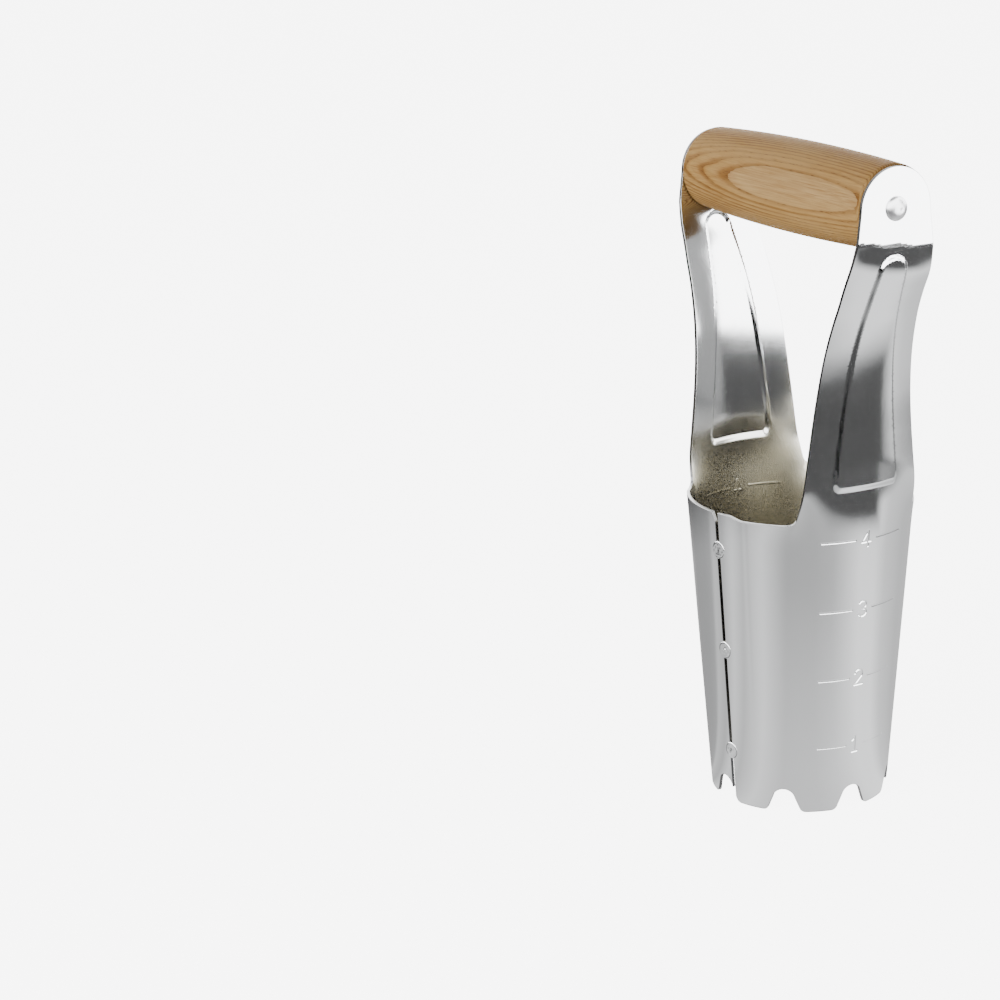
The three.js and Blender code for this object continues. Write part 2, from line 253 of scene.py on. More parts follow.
# Numerals as strokes, in a box 1 wide and 1 high whose middle is (0, 0).
DIGITS = {
    1: [[(-0.26, 0.28), (0.03, 0.5), (0.03, -0.5)], [(-0.28, -0.5), (0.32, -0.5)]],
    2: [arc(0, 0.2, 0.42, 0.3, 170, -30) + [(-0.45, -0.5), (0.48, -0.5)]],
    3: [arc(0, 0.25, 0.4, 0.25, 150, -90), arc(0, -0.25, 0.44, 0.25, 90, -150)],
    4: [[(0.5, -0.2), (-0.5, -0.2), (0.2, 0.5), (0.2, -0.5)]],
}


def distance_to_stroke(x, y, stroke):
    """Distance of points from a polyline."""
    best = np.full(x.shape, 1e9)
    for (ax, ay), (bx, by) in zip(stroke[:-1], stroke[1:]):
        dx, dy = bx - ax, by - ay
        t = np.clip(((x - ax) * dx + (y - ay) * dy) / (dx * dx + dy * dy), 0, 1)
        best = np.minimum(best, np.hypot(x - ax - t * dx, y - ay - t * dy))
    return best


def mark_distance(turn, height):
    """Distance from the nearest stroke of the depth scale, which is on both sides of the tube."""
    level = np.clip(np.round((height - FIRST_LINE) / INCH), 0, 3)
    up = height - FIRST_LINE - level * INCH
    angle = (turn + math.pi / 2) % math.pi - math.pi / 2
    along = angle * outer_radius(height)
    start, end = LINE_START * outer_radius(height), LINE_END * outer_radius(height)
    beyond = np.maximum(np.maximum(start - np.abs(along), np.abs(along) - end), 0)
    best = np.hypot(beyond, up)
    near = (np.abs(along) < DIGIT_WIDTH) & (np.abs(up) < DIGIT_HEIGHT)
    for digit, strokes in DIGITS.items():
        here = near & (level == digit - 1)
        for stroke in strokes:
            scaled = [(x * DIGIT_WIDTH, y * DIGIT_HEIGHT) for x, y in stroke]
            best[here] = np.minimum(best[here], distance_to_stroke(along[here], up[here], scaled))
    return best


def outer_surface(turn, height):
    """The outer surface, pressed marks included."""
    angle = (turn + math.pi / 2) % math.pi - math.pi / 2
    lines = np.where(angle > 0, SHALLOWER, 1.0) * LINE_DEPTH
    deepest = np.where(np.abs(angle) < LINE_START * 0.9, DIGIT_DEPTH, lines)
    depth = deepest * (1 - smoothstep(mark_distance(turn, height), 0.1, MARK_HALF_WIDTH))
    from_crease = (turn - CREASE) * outer_radius(height) / CREASE_HALF_WIDTH
    depth += CREASE_DEPTH * np.exp(-from_crease ** 2) * smoothstep(height, *CREASE_FADES)
    place = plain_surface(turn, height)
    marked = depth > 0
    inward = normals_of(plain_surface, turn[marked], height[marked])
    place[marked] -= inward * depth[marked, None]
    return place


# ---------- the blank's outline, as (turn, height) points, anticlockwise ----------

def spaced(points, step):
    """A polyline walked at an even step, in mm. The last point is left for the next stretch."""
    points = np.array(points, float)
    lengths = np.hypot(np.diff(points[:, 0]) * RIM_RADIUS, np.diff(points[:, 1]))
    at = np.concatenate([[0], np.cumsum(lengths)])
    stops = np.linspace(0, at[-1], max(int(at[-1] / step), 1) + 1)[:-1]
    return np.stack([np.interp(stops, at, points[:, 0]), np.interp(stops, at, points[:, 1])], -1)


def quadratic(start, control, end, steps=8):
    """Points of a curve from start to end, which heads for the control and comes away from it."""
    t = np.linspace(0, 1, steps)[:, None]
    start, control, end = (np.array(point) for point in (start, control, end))
    return list((1 - t) ** 2 * start + 2 * t * (1 - t) * control + t ** 2 * end)


def half_notch():
    """The right half of a notch: sideways and up, from its crown down to the tooth's tip."""
    crown_height = NOTCH_DEPTH - NOTCH_CROWN_RADIUS
    foot = NOTCH_HALF_WIDTH
    top = arc(0, crown_height, NOTCH_CROWN_RADIUS, NOTCH_CROWN_RADIUS, 90, CROWN_END, 12)
    corner = quadratic((foot - TOOTH_SLOPE, TOOTH_CORNER), (foot, 0), (foot + TOOTH_CORNER, 0))
    return np.array(top + corner, float)


def bottom_edge():
    """The toothed edge, from the right side of the seam round to its left side."""
    right = half_notch()
    notch = np.concatenate([right[::-1] * (-1, 1), right[1:]])
    first = -math.pi / 2
    points = []
    for k in range(9):
        turns = first + k * TOOTH_PITCH + notch[:, 0] / TIP_RADIUS
        points += list(zip(turns, notch[:, 1]))
    points = np.array(points)
    half_gap = SEAM_WIDTH / 2 / TIP_RADIUS
    start, end = SEAM + half_gap, SEAM + 2 * math.pi - half_gap
    ends = np.interp([start, end], points[:, 0], points[:, 1])
    inner = points[(points[:, 0] > start) & (points[:, 0] < end)]
    return np.concatenate([[(start, ends[0])], inner, [(end, ends[1])]])


def arm_outline(middle):
    """Up one edge of an arm, round the ear and down the other edge, by falling turn."""
    root = RIM + ROOT_FILLET
    wide = float(half_width(root))
    fillet = quadratic((half_width(RIM) + ROOT_FILLET, RIM), (wide, RIM), (wide, root))
    edge = [(float(half_width(z)), z) for z in np.linspace(root, GRIP_HEIGHT, 60)[1:]]
    ear = arc(0, GRIP_HEIGHT, EAR_RADIUS, EAR_RADIUS, 0, 90, 30)[1:]
    right = np.array(fillet + edge + ear, float)
    both = np.concatenate([right, (right * (-1, 1))[::-1][1:]])
    return np.stack([middle + np.arcsin(both[:, 0] / RIM_RADIUS), both[:, 1]], -1)


def blank_outline(step=0.5):
    """The whole outline: teeth, left flap with its chamfered corner, both arms, right flap."""
    bottom, far_arm, near_arm = bottom_edge(), arm_outline(math.pi), arm_outline(0)
    half_gap = SEAM_WIDTH / 2 / RIM_RADIUS
    along, down = SEAM_CHAMFER
    right_corner = (SEAM + half_gap, RIM)
    left_turn = SEAM + 2 * math.pi - half_gap
    chamfer_low, chamfer_high = (left_turn, RIM - down), (left_turn - along / RIM_RADIUS, RIM)
    stretches = [
        bottom,
        [bottom[-1], chamfer_low],
        [chamfer_low, chamfer_high],
        [chamfer_high, far_arm[0]],
        far_arm,
        [far_arm[-1], near_arm[0]],
        near_arm,
        [near_arm[-1], right_corner],
        [right_corner, bottom[0]],
    ]
    return np.concatenate([spaced(stretch, step) for stretch in stretches])


def inset(outline, distance):
    """The outline moved inward, and the outward direction at each of its points."""
    flat = outline * (RIM_RADIUS, 1)
    ahead, behind = np.roll(flat, -1, 0) - flat, flat - np.roll(flat, 1, 0)
    along = unit(unit(ahead) + unit(behind))
    outward = np.stack([along[:, 1], -along[:, 0]], -1)
    return (flat - outward * distance) / (RIM_RADIUS, 1), outward / (RIM_RADIUS, 1)


# ---------- the sheet's mesh ----------

def staggered(low, high, step):
    """Points of a triangular grid over a box of (turn, height)."""
    columns = np.arange(low[0] * RIM_RADIUS, high[0] * RIM_RADIUS, step)
    rows = np.arange(low[1], high[1], step * 0.87)
    s, z = np.meshgrid(columns, rows)
    s = s + (np.arange(len(rows)) % 2)[:, None] * step / 2
    return np.stack([s.ravel() / RIM_RADIUS, z.ravel()], -1)


def sheet_points(outline):
    """Points inside the outline: close together where the surface bends, wide apart elsewhere."""
    low, high = outline.min(0), outline.max(0)
    beside_bevel, beside_crease, beside_mark = 0.5, 2.5, 0.3
    fold_low, fold_high = 190, 206
    clear_of_edge = 0.45

    def bends(points):
        turn, height = points.T
        y = RIM_RADIUS * np.sin(turn)
        depth = inside_panel(y, height)
        on_bevel = (depth > -beside_bevel) & (depth < PANEL_BEVEL + beside_bevel) & (height > RIM)
        on_fold = (height > fold_low) & (height < fold_high)
        on_crease = (np.abs(turn - CREASE) * RIM_RADIUS < beside_crease) & (height < RIM)
        return on_bevel | on_fold | on_crease

    def marked(points):
        turn, height = points.T
        return (mark_distance(turn, height) < MARK_HALF_WIDTH + beside_mark) & (height < RIM)

    coarse, middle, fine = (staggered(low, high, step) for step in (COARSE, MIDDLE, FINE))
    fine = fine[marked(fine)]
    middle = middle[bends(middle) & ~marked(middle)]
    coarse = coarse[~bends(coarse) & ~marked(coarse)]
    border = KDTree(len(outline))
    for i, (turn, height) in enumerate(outline):
        border.insert((turn * RIM_RADIUS, height, 0), i)
    border.balance()
    points = np.concatenate([fine, middle, coarse])
    clear = [border.find((turn * RIM_RADIUS, height, 0))[2] > clear_of_edge
             for turn, height in points]
    return points[np.array(clear)]


def triangulated(outline, points):
    """Triangles inside the outline. The outline's points come first and keep their order."""
    flat = np.concatenate([outline, points]) * (RIM_RADIUS, 1)
    made = delaunay_2d_cdt([Vector(p) for p in flat], [], [list(range(len(outline)))], 1, 1e-6)
    places, faces, sources = made[0], made[2], made[3]
    where = {}
    for new, old in enumerate(sources):
        for index in old:
            where[index] = new
    used = sorted({index for face in faces for index in face})
    order = [where[i] for i in range(len(outline))]
    border = set(order)
    order += [i for i in used if i not in border]
    renumber = {old: new for new, old in enumerate(order)}
    coords = np.array([tuple(places[i]) for i in order]) / (RIM_RADIUS, 1)
    return coords, [tuple(renumber[i] for i in face) for face in faces]


def mesh_object(name, vertices_mm, faces, normals=None):
    """A smooth-shaded object from points in mm, with the given vertex normals if there are any."""
    mesh = bpy.data.meshes.new(name)
    mesh.from_pydata([tuple(v) for v in np.asarray(vertices_mm) * MM], [], faces)
    mesh.validate()
    mesh.polygons.foreach_set("use_smooth", [True] * len(mesh.polygons))
    if normals is not None:
        mesh.normals_split_custom_set_from_vertices([tuple(n) for n in normals])
    piece = bpy.data.objects.new(name, mesh)
    bpy.context.collection.objects.link(piece)
    return piece


def set_attribute(piece, name, values):
    """One number for each vertex, for the piece's material to read."""
    piece.data.attributes.new(name, "FLOAT", "POINT").data.foreach_set("value", values)


def sheet_body():
    """The pressed blank: outer face, inner face, and a rounded cut edge between them."""
    outline, outward = inset(blank_outline(), EDGE_ROUND)
    flat, faces = triangulated(outline, sheet_points(outline))
    turn, height = flat.T
    outer = outer_surface(turn, height)
    normal = normals_of(outer_surface, turn, height)
    inner = outer - normal * SHEET
    inner += (plain_surface(turn, height) - outer) * (1 - SHOWS_INSIDE)
    plain_normal = normals_of(plain_surface, turn, height)
    inner_normal = unit(-plain_normal * (1 - SHOWS_INSIDE) - normal * SHOWS_INSIDE)
    count, ring = len(flat), len(outline)

    step = 0.05
    ahead = outer_surface(turn[:ring] + outward[:, 0] * step, height[:ring] + outward[:, 1] * step)
    side = ahead - outer[:ring]
    side = unit(side - (side * normal[:ring]).sum(-1, keepdims=True) * normal[:ring])

    # The cut edge: rings of points round the outer face's corner, then round the inner face's.
    rings, ring_normals = [], []
    for face, depth, angles in ((outer, -EDGE_ROUND, (25, 50, 75, 90)),
                                (inner, EDGE_ROUND, (90, 105, 130, 155))):
        centre = face[:ring] + normal[:ring] * depth
        for angle in np.radians(angles):
            direction = normal[:ring] * math.cos(angle) + side * math.sin(angle)
            rings.append(centre + direction * EDGE_ROUND)
            ring_normals.append(direction)

    vertices = np.concatenate([outer, inner, *rings])
    normals = np.concatenate([normal, inner_normal, *ring_normals])
    starts = [0] + [2 * count + k * ring for k in range(len(rings))] + [count]
    polygons = list(faces) + [tuple(count + i for i in reversed(face)) for face in faces]
    for a, b in zip(starts[:-1], starts[1:]):
        for i in range(ring):
            j = (i + 1) % ring
            polygons.append((a + i, b + i, b + j, a + j))
    piece = mesh_object("planter_sheet", vertices, polygons, normals)
    inside = np.zeros(len(vertices))
    inside[count:2 * count] = 1
    inside[2 * count + 6 * ring:] = 1
    set_attribute(piece, "inside", inside)
    # The cut edge's rings take the near-black colour: painted shade on the sheared, uncoated edge.
    dark_edge_rings = 7
    bare_and_shaded = np.zeros(len(vertices))
    along_edge = RIM_EDGE_DARK + (1 - RIM_EDGE_DARK) * smoothstep(height[:ring], *EDGE_FULLY_DARK)
    bare_and_shaded[2 * count:2 * count + dark_edge_rings * ring] = np.tile(along_edge, dark_edge_rings)
    set_attribute(piece, "bare_and_shaded", bare_and_shaded)
    return piece


def tack_weld(index, height):
    """A round spot of weld metal across the seam: a low crown with a broken ring and some pits."""
    crown_rise, edge_drop, ring_depth, pit_depth = 0.1, 0.25, 0.08, 0.2
    ring_radius, ring_half_width = WELD_RADIUS * 0.86, 0.17
    radii = np.linspace(0, WELD_RADIUS, 32)[1:]
    steps = 72
    angles = np.linspace(0, 2 * math.pi, steps, endpoint=False)
    following = [(i + 1) % steps for i in range(steps)]
    rng = np.random.default_rng(40 + index)
    pits = [(rng.uniform(-1.2, 0.2), rng.uniform(-1.2, 1.2), rng.uniform(0.3, 0.45))
            for _ in range(3)]
    rows = [(0.0, 0.0)] + [(r * math.cos(a), r * math.sin(a)) for r in radii for a in angles]
    along, up = np.array(rows).T
    from_middle = np.hypot(along, up)
    lumps = 0.03 * np.sin(3.1 * along + index) * np.sin(2.7 * up + 2 * index)
    groove = np.exp(-((from_middle - ring_radius) / ring_half_width) ** 2)
    groove *= smoothstep(np.sin(2 * np.arctan2(up, along) + 2 + index), -0.6, 0.2)
    rise = crown_rise + lumps - ring_depth * groove
    rise -= edge_drop * smoothstep(from_middle, WELD_RADIUS * 0.94, WELD_RADIUS)
    # The groove ring and the pits are painted near-black: painted shade in these hollows.
    bare_and_shaded = 0.9 * groove
    for x, y, size in pits:
        pit = np.exp(-((along - x) ** 2 + (up - y) ** 2) / size ** 2)
        rise -= pit_depth * pit
        bare_and_shaded = np.maximum(bare_and_shaded, pit)
    turn = SEAM + along / outer_radius(height)
    base = plain_surface(turn, height + up)
    normal = normals_of(plain_surface, turn, height + up)
    top = base + normal * rise[:, None]
    bottom = base - normal * (SHEET * 0.9)
    count = len(top)
    faces = [(0, 1 + i, 1 + j) for i, j in enumerate(following)]
    for k in range(len(radii) - 1):
        a, b = 1 + k * steps, 1 + (k + 1) * steps
        faces += [(a + i, b + i, b + j, a + j) for i, j in enumerate(following)]
    underside = [tuple(count + i for i in reversed(face)) for face in faces]
    a, b = count - steps, 2 * count - steps
    wall = [(a + i, b + i, b + j, a + j) for i, j in enumerate(following)]
    vertices = np.concatenate([top, bottom])
    piece = mesh_object(f"tack_weld_{index + 1}", vertices, faces + underside + wall)
    set_attribute(piece, "bare_and_shaded", np.concatenate([bare_and_shaded, bare_and_shaded]))
    return piece


def turned_about_x(name, profile, segments, closed):
    """A body turned about the grip's axis from (along, radius) points."""
    angles = np.linspace(0, 2 * math.pi, segments, endpoint=False)
    vertices, starts = [], []
    for along, radius in profile:
        starts.append(len(vertices))
        if radius < 1e-6:
            vertices.append((along, 0, GRIP_HEIGHT))
            continue
        for a in angles:
            vertices.append((along, radius * math.cos(a), GRIP_HEIGHT + radius * math.sin(a)))
    starts.append(len(vertices))
    faces = []
    pairs = list(zip(range(len(profile)), range(1, len(profile))))
    if closed:
        pairs.append((len(profile) - 1, 0))
    for p, q in pairs:
        a, b = starts[p], starts[q]
        for i in range(segments):
            j = (i + 1) % segments
            if starts[p + 1] - a == 1:
                faces.append((a, b + i, b + j))
            elif starts[q + 1] - b == 1:
                faces.append((a + i, b, a + j))
            else:
                faces.append((a + i, b + i, b + j, a + j))
    return mesh_object(name, vertices, faces)


def grip():
    """The turned grip: a long barrel with softly rounded end edges and a bore for the rivet."""
    round_over, bore, end_radius, on_end_face = 1.3, 2.7, 14.4, 6.0
    swell = GRIP_RADIUS - end_radius
    barrel_half = GRIP_HALF - round_over
    corner = arc(-barrel_half, end_radius - round_over, round_over, round_over, 180, 90, 8)
    left = [(-GRIP_HALF, bore), (-GRIP_HALF, on_end_face)] + corner
    barrel = [(along, end_radius + swell * (1 - (along / barrel_half) ** 2))
              for along in np.linspace(-barrel_half, barrel_half, 60)[1:-1]]
    right = [(-along, radius) for along, radius in reversed(left)]
    return turned_about_x("ash_grip", left + barrel + right, 144, closed=True)


def rivet():
    """The long rivet: a domed head at each end, with a small set mark on the near one."""
    head = HEAD_TIP - EAR_FACE
    shank_radius, fullness = 2.4, 0.8
    mark_y, mark_z, mark_depth, mark_radius = 1.0, GRIP_HEIGHT - 0.2, 0.16, 0.62
    dome = [(EAR_FACE + head * math.sin(a), HEAD_RADIUS * math.cos(a) ** fullness)
            for a in np.radians(np.linspace(0, 90, 26)[1:-1])]
    foot = [(EAR_FACE, shank_radius), (EAR_FACE, HEAD_RADIUS * 0.97)]
    half = foot + dome + [(EAR_FACE + head, 0)]
    profile = [(-along, radius) for along, radius in reversed(half)] + half
    piece = turned_about_x("rivet", profile, 64, closed=False)
    for vertex in piece.data.vertices:
        x, y, z = (value / MM for value in vertex.co)
        if x > EAR_FACE:
            away = math.hypot(y - mark_y, z - mark_z)
            vertex.co.x -= mark_depth * math.exp(-(away / mark_radius) ** 2) * MM
    return piece


# ---------- materials ----------

class Nodes:
    """Short calls for building one material's node tree."""

    def __init__(self, name):
        self.material = bpy.data.materials.new(name)
        self.material.use_nodes = True
        self.tree = self.material.node_tree
        self.shader = self.tree.nodes["Principled BSDF"]

    def add(self, kind, **settings):
        node = self.tree.nodes.new(kind)
        for key, value in settings.items():
            setattr(node, key, value)
        return node

    def link(self, output, target):
        self.tree.links.new(output, target)

    def coordinates(self, scale):
        mapping = self.add("ShaderNodeMapping")
        mapping.inputs["Scale"].default_value = scale
        self.link(self.add("ShaderNodeTexCoord").outputs["Object"], mapping.inputs["Vector"])
        return mapping.outputs["Vector"]

    def noise(self, vector, scale, detail):
        node = self.add("ShaderNodeTexNoise")
        node.inputs["Scale"].default_value = scale
        node.inputs["Detail"].default_value = detail
        self.link(vector, node.inputs["Vector"])
        return node.outputs["Fac"]

    def span(self, value, from_low, from_high, to_low, to_high):
        node = self.add("ShaderNodeMapRange")
        node.inputs["From Min"].default_value = from_low
        node.inputs["From Max"].default_value = from_high
        node.inputs["To Min"].default_value = to_low
        node.inputs["To Max"].default_value = to_high
        self.link(value, node.inputs["Value"])
        return node.outputs["Result"]

    def math(self, operation, a, b=None, c=None):
        node = self.add("ShaderNodeMath", operation=operation)
        for socket, value in zip(node.inputs, (a, b, c)):
            if isinstance(value, (int, float)):
                socket.default_value = value
            elif value is not None:
                self.link(value, socket)
        return node.outputs["Value"]

    def ramp(self, value, stops):
        node = self.add("ShaderNodeValToRGB")
        while len(node.color_ramp.elements) < len(stops):
            node.color_ramp.elements.new(0.5)
        for element, (position, colour) in zip(node.color_ramp.elements, stops):
            element.position = position
            element.color = (*colour, 1)
        self.link(value, node.inputs["Fac"])
        return node.outputs["Color"]

    def mix(self, factor, a, b):
        node = self.add("ShaderNodeMix", data_type="RGBA")
        for socket, value in zip((node.inputs[0], node.inputs[6], node.inputs[7]), (factor, a, b)):
            if isinstance(value, (int, float)):
                socket.default_value = value
            elif isinstance(value, tuple):
                socket.default_value = (*value, 1)
            else:
                self.link(value, socket)
        return node.outputs[2]

    def bump(self, height, strength, distance):
        node = self.add("ShaderNodeBump")
        node.inputs["Strength"].default_value = strength
        node.inputs["Distance"].default_value = distance
        self.link(height, node.inputs["Height"])
        self.link(node.outputs["Normal"], self.shader.inputs["Normal"])


BARE_SHADED_STEEL = (0.016, 0.015, 0.014)   # sheared edges and weld pits are uncoated steel, painted near-black, much darker than uncoated steel is: painted shade


def plated_steel(name, colour, roughness, inner_shade_colour=None):
    """Plated sheet: bright, with a slight bloom, faint rubbed streaks and a very fine ripple.

    The inside of the tube is rougher, and painted darker and browner: painted shade inside the
    tube, which fades out up the arms."""
    nodes = Nodes(name)
    nodes.shader.inputs["Metallic"].default_value = 1
    bloom = nodes.noise(nodes.coordinates((1, 1, 1)), 28, 4)
    streaks = nodes.noise(nodes.coordinates((1, 1, 0.12)), 900, 3)
    rough = nodes.math("MULTIPLY_ADD", bloom, 0.04, roughness - 0.02)
    rough = nodes.math("MULTIPLY_ADD", streaks, 0.02, rough)
    tint = nodes.mix(nodes.span(bloom, 0.3, 0.7, 0, 1), colour, tuple(0.96 * c for c in colour))
    # Inside the tube, below the arms, the colour goes darker and browner: painted shade inside the
    # tube. The roughness rises there too.
    if inner_shade_colour:
        height = nodes.add("ShaderNodeSeparateXYZ")
        nodes.link(nodes.coordinates((1, 1, 1)), height.inputs["Vector"])
        low = nodes.span(height.outputs["Z"], 0.112, 0.135, 1, 0)
        inside = nodes.add("ShaderNodeAttribute", attribute_name="inside").outputs["Fac"]
        dull_shaded_inside = nodes.math("MULTIPLY", inside, low)
        tint = nodes.mix(dull_shaded_inside, tint, inner_shade_colour)
        rough = nodes.math("MULTIPLY_ADD", dull_shaded_inside, 0.12, rough)
        # Near-black on the cut edges and weld hollows: painted shade on uncoated steel. It roughens
        # them too.
        bare_and_shaded = nodes.add("ShaderNodeAttribute", attribute_name="bare_and_shaded").outputs["Fac"]
        tint = nodes.mix(bare_and_shaded, tint, BARE_SHADED_STEEL)
        rough = nodes.math("MULTIPLY_ADD", bare_and_shaded, 0.15, rough)
    nodes.link(rough, nodes.shader.inputs["Roughness"])
    nodes.link(tint, nodes.shader.inputs["Base Color"])
    ripple = nodes.noise(nodes.coordinates((1, 1, 0.5)), 220, 2)
    nodes.bump(ripple, 0.02, 0.001)
    return nodes.material


# The tree's heart line runs nearly along the grip, behind it and a little below it, and leans
# towards it at one end. Growth rings therefore close into a long island facing the seam.
HEART_DISTANCE = 60              # from the grip's axis
HEART_DIRECTION = 168            # of the side facing away from it, in degrees from +Y towards +Z
HEART_LEAN = 0.019
RING_SPACING = 0.8
ISLAND_START = HEART_DISTANCE + GRIP_RADIUS - 0.05   # from the heart line
DARK_GRAIN, WARM_GRAIN = (0.17, 0.075, 0.018), (0.24, 0.115, 0.032)
RING_COLOURS = [(0.0, DARK_GRAIN), (0.2, WARM_GRAIN), (0.42, (0.43, 0.25, 0.09)),
                (0.75, (0.47, 0.29, 0.1)), (0.93, (0.40, 0.22, 0.07)), (1.0, DARK_GRAIN)]
ISLAND_SHARE = 0.62              # the island is one wide ring, coloured like this share of a ring
ISLAND_COLOUR = (0.54, 0.36, 0.175)


def ash_wood(name):
    """Ash: growth rings with an open-pored dark early band, fine fibres along the grip."""
    nodes = Nodes(name)
    away = math.radians(HEART_DIRECTION)
    place = nodes.coordinates((1000, 1000, 1000))
    parts = nodes.add("ShaderNodeSeparateXYZ")
    nodes.link(place, parts.inputs["Vector"])
    along = parts.outputs["X"]
    across = nodes.math("ADD", parts.outputs["Y"], HEART_DISTANCE * math.cos(away))
    above = nodes.math("ADD", parts.outputs["Z"], HEART_DISTANCE * math.sin(away) - GRIP_HEIGHT)
    squares = nodes.math("ADD", nodes.math("MULTIPLY", across, across),
                         nodes.math("MULTIPLY", above, above))
    distance = nodes.math("MULTIPLY_ADD", along, HEART_LEAN, nodes.math("SQRT", squares))
    wander = nodes.noise(nodes.coordinates((14, 90, 90)), 1.0, 2)
    distance = nodes.math("MULTIPLY_ADD", wander, 0.9, distance)
    ragged = nodes.noise(nodes.coordinates((60, 700, 700)), 1.0, 2)
    distance = nodes.math("MULTIPLY_ADD", ragged, 0.22, distance)
    ring = nodes.math("DIVIDE", nodes.math("SUBTRACT", distance, ISLAND_START), RING_SPACING)
    share = nodes.math("SUBTRACT", 1.0, nodes.math("FRACT", ring))
    island = nodes.math("GREATER_THAN", ring, 0.0)
    share = nodes.math("MAXIMUM", share, nodes.math("MULTIPLY", island, ISLAND_SHARE))
    body = nodes.ramp(share, RING_COLOURS)
    body = nodes.mix(nodes.math("MULTIPLY", island, 0.6), body, ISLAND_COLOUR)
    fibres = nodes.noise(nodes.coordinates((50, 2400, 2400)), 1.0, 3)
    body = nodes.mix(nodes.span(fibres, 0.35, 0.75, 0.0, 0.8), body, (0.26, 0.12, 0.03))
    broad = nodes.noise(nodes.coordinates((12, 120, 120)), 1.0, 2)
    body = nodes.mix(nodes.span(broad, 0.4, 0.65, 0.0, 0.5), body, (0.5, 0.31, 0.12))
    pores = nodes.noise(nodes.coordinates((260, 3600, 3600)), 1.0, 1)
    early = nodes.span(share, 0.0, 0.4, 1.0, 0.15)
    pore = nodes.math("MULTIPLY", nodes.span(pores, 0.6, 0.7, 0, 1), early)
    body = nodes.mix(pore, body, (0.09, 0.035, 0.01))
    nodes.link(body, nodes.shader.inputs["Base Color"])
    nodes.shader.inputs["Roughness"].default_value = 0.6
    nodes.shader.inputs["Specular IOR Level"].default_value = 0.03
    nodes.bump(nodes.math("SUBTRACT", 1.0, pore), 0.25, 0.0001)
    return nodes.material


def finish_piece(piece, node, material):
    """Give a piece its material, hang it on the root body and hide the CAD part it replaces."""
    piece.data.materials.clear()
    piece.data.materials.append(material)
    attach(piece, "root")
    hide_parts(node)


# ---------- the stage, the light and the camera ----------

CAMERA_AZIMUTH = math.radians(61.2)      # 0 looks along +Y
CAMERA_ELEVATION = math.radians(16.29)
CAMERA_ROLL = math.radians(-1.68)
CAMERA_PLACE = Vector((0.7450, -0.5292, 0.3732))
CAMERA_LENS = 97.4


def camera():
    """The photograph's view: from above and to the right of the seam, with a slight roll."""
    level = math.cos(CAMERA_ELEVATION)
    back = Vector((level * math.sin(CAMERA_AZIMUTH), -level * math.cos(CAMERA_AZIMUTH),
                   math.sin(CAMERA_ELEVATION)))
    right = Vector((math.cos(CAMERA_AZIMUTH), math.sin(CAMERA_AZIMUTH), 0))
    up = back.cross(right)
    axes = Matrix((right, up, back)).transposed() @ Matrix.Rotation(CAMERA_ROLL, 3, "Z")
    data = bpy.data.cameras.new("camera")
    data.lens = CAMERA_LENS
    data.sensor_width = 36
    data.clip_start = 0.05
    data.clip_end = 50
    shot = bpy.data.objects.new("camera", data)
    bpy.context.collection.objects.link(shot)
    shot.matrix_world = Matrix.Translation(CAMERA_PLACE) @ axes.to_4x4()
    bpy.context.scene.camera = shot


def plain_floor():
    """A pale floor, and a pale round wall with a ceiling far behind everything."""
    size, wall_radius, sides = 12, 11.4, 64
    corners = [(-size, -size, 0), (size, -size, 0), (size, size, 0), (-size, size, 0)]
    floor = mesh_object("floor", np.array(corners) / MM, [(0, 1, 2, 3)])
    nodes = Nodes("floor_white")
    nodes.shader.inputs["Base Color"].default_value = (0.9, 0.9, 0.9, 1)
    nodes.shader.inputs["Roughness"].default_value = 0.9
    nodes.shader.inputs["Specular IOR Level"].default_value = 0.0
    nodes.shader.inputs["Emission Color"].default_value = (1, 1, 1, 1)
    nodes.shader.inputs["Emission Strength"].default_value = 7.0
    angles = np.linspace(0, 2 * math.pi, sides, endpoint=False)
    round_wall = wall_radius * np.column_stack([np.cos(angles), np.sin(angles)])
    low = np.column_stack([round_wall, np.full(sides, -0.01)])
    high = np.column_stack([round_wall, np.full(sides, size)])
    faces = [(i, (i + 1) % sides, sides + (i + 1) % sides, sides + i) for i in range(sides)]
    faces.append(tuple(range(sides, 2 * sides)))
    backdrop = mesh_object("backdrop", np.concatenate([low, high]) / MM, faces)
    for piece in (floor, backdrop):
        piece.data.materials.append(nodes.material)
        piece.visible_glossy = False
        piece.visible_diffuse = False
    backdrop.visible_shadow = False


# What the steel reflects. Headings are in degrees from +X, and light is what a place gives off.
WALL_LIGHT = 9
WALL_BOTTOM = (-1.4, 1.2)        # degrees above level, over which the walls begin
ROOM_LIGHT = 0.088               # of the dim room under the walls
RIGHT_ROOM = (44, 80)            # headings where the room is lighter
RIGHT_ROOM_LIGHT = 0.36          # added there
DARK_ROOM = (-80, -3)            # headings round the camera, where it gives off nothing
WALL_GAP = (44, 61)              # headings of the grey gap between two walls
WALL_GAP_LIGHT = 0.5
WALL_GAP_TOP = (26, 32)
CEILING = (42, 50)               # degrees above level, over which the dim ceiling begins
CEILING_LIGHT = 0.3
TABLE_RADIUS = 0.6
TABLE_BRIGHTNESS = 3.7
RAMP_TOP = 4                     # the table light that a ramp holds as 1, the most it can hold
# (heading, light): a bright strip straight behind the planter, and a lighter part at its right.
TABLE_LIGHT = [(-180, 0.46), (-150, 0.5), (-139, 0.56), (-134, 0.92), (-120, 0.72), (-108, 1.2),
               (-95, 0.85), (-72, 1.35), (-50, 1.0), (-20, 1.05), (0, 1.25), (26, 1.7), (45, 1.7),
               (60, 1.15), (90, 0.85), (140, 0.78), (149, 4.0), (160, 3.0), (168, 0.55)]
BEYOND_TABLE_LIGHT = 0.09


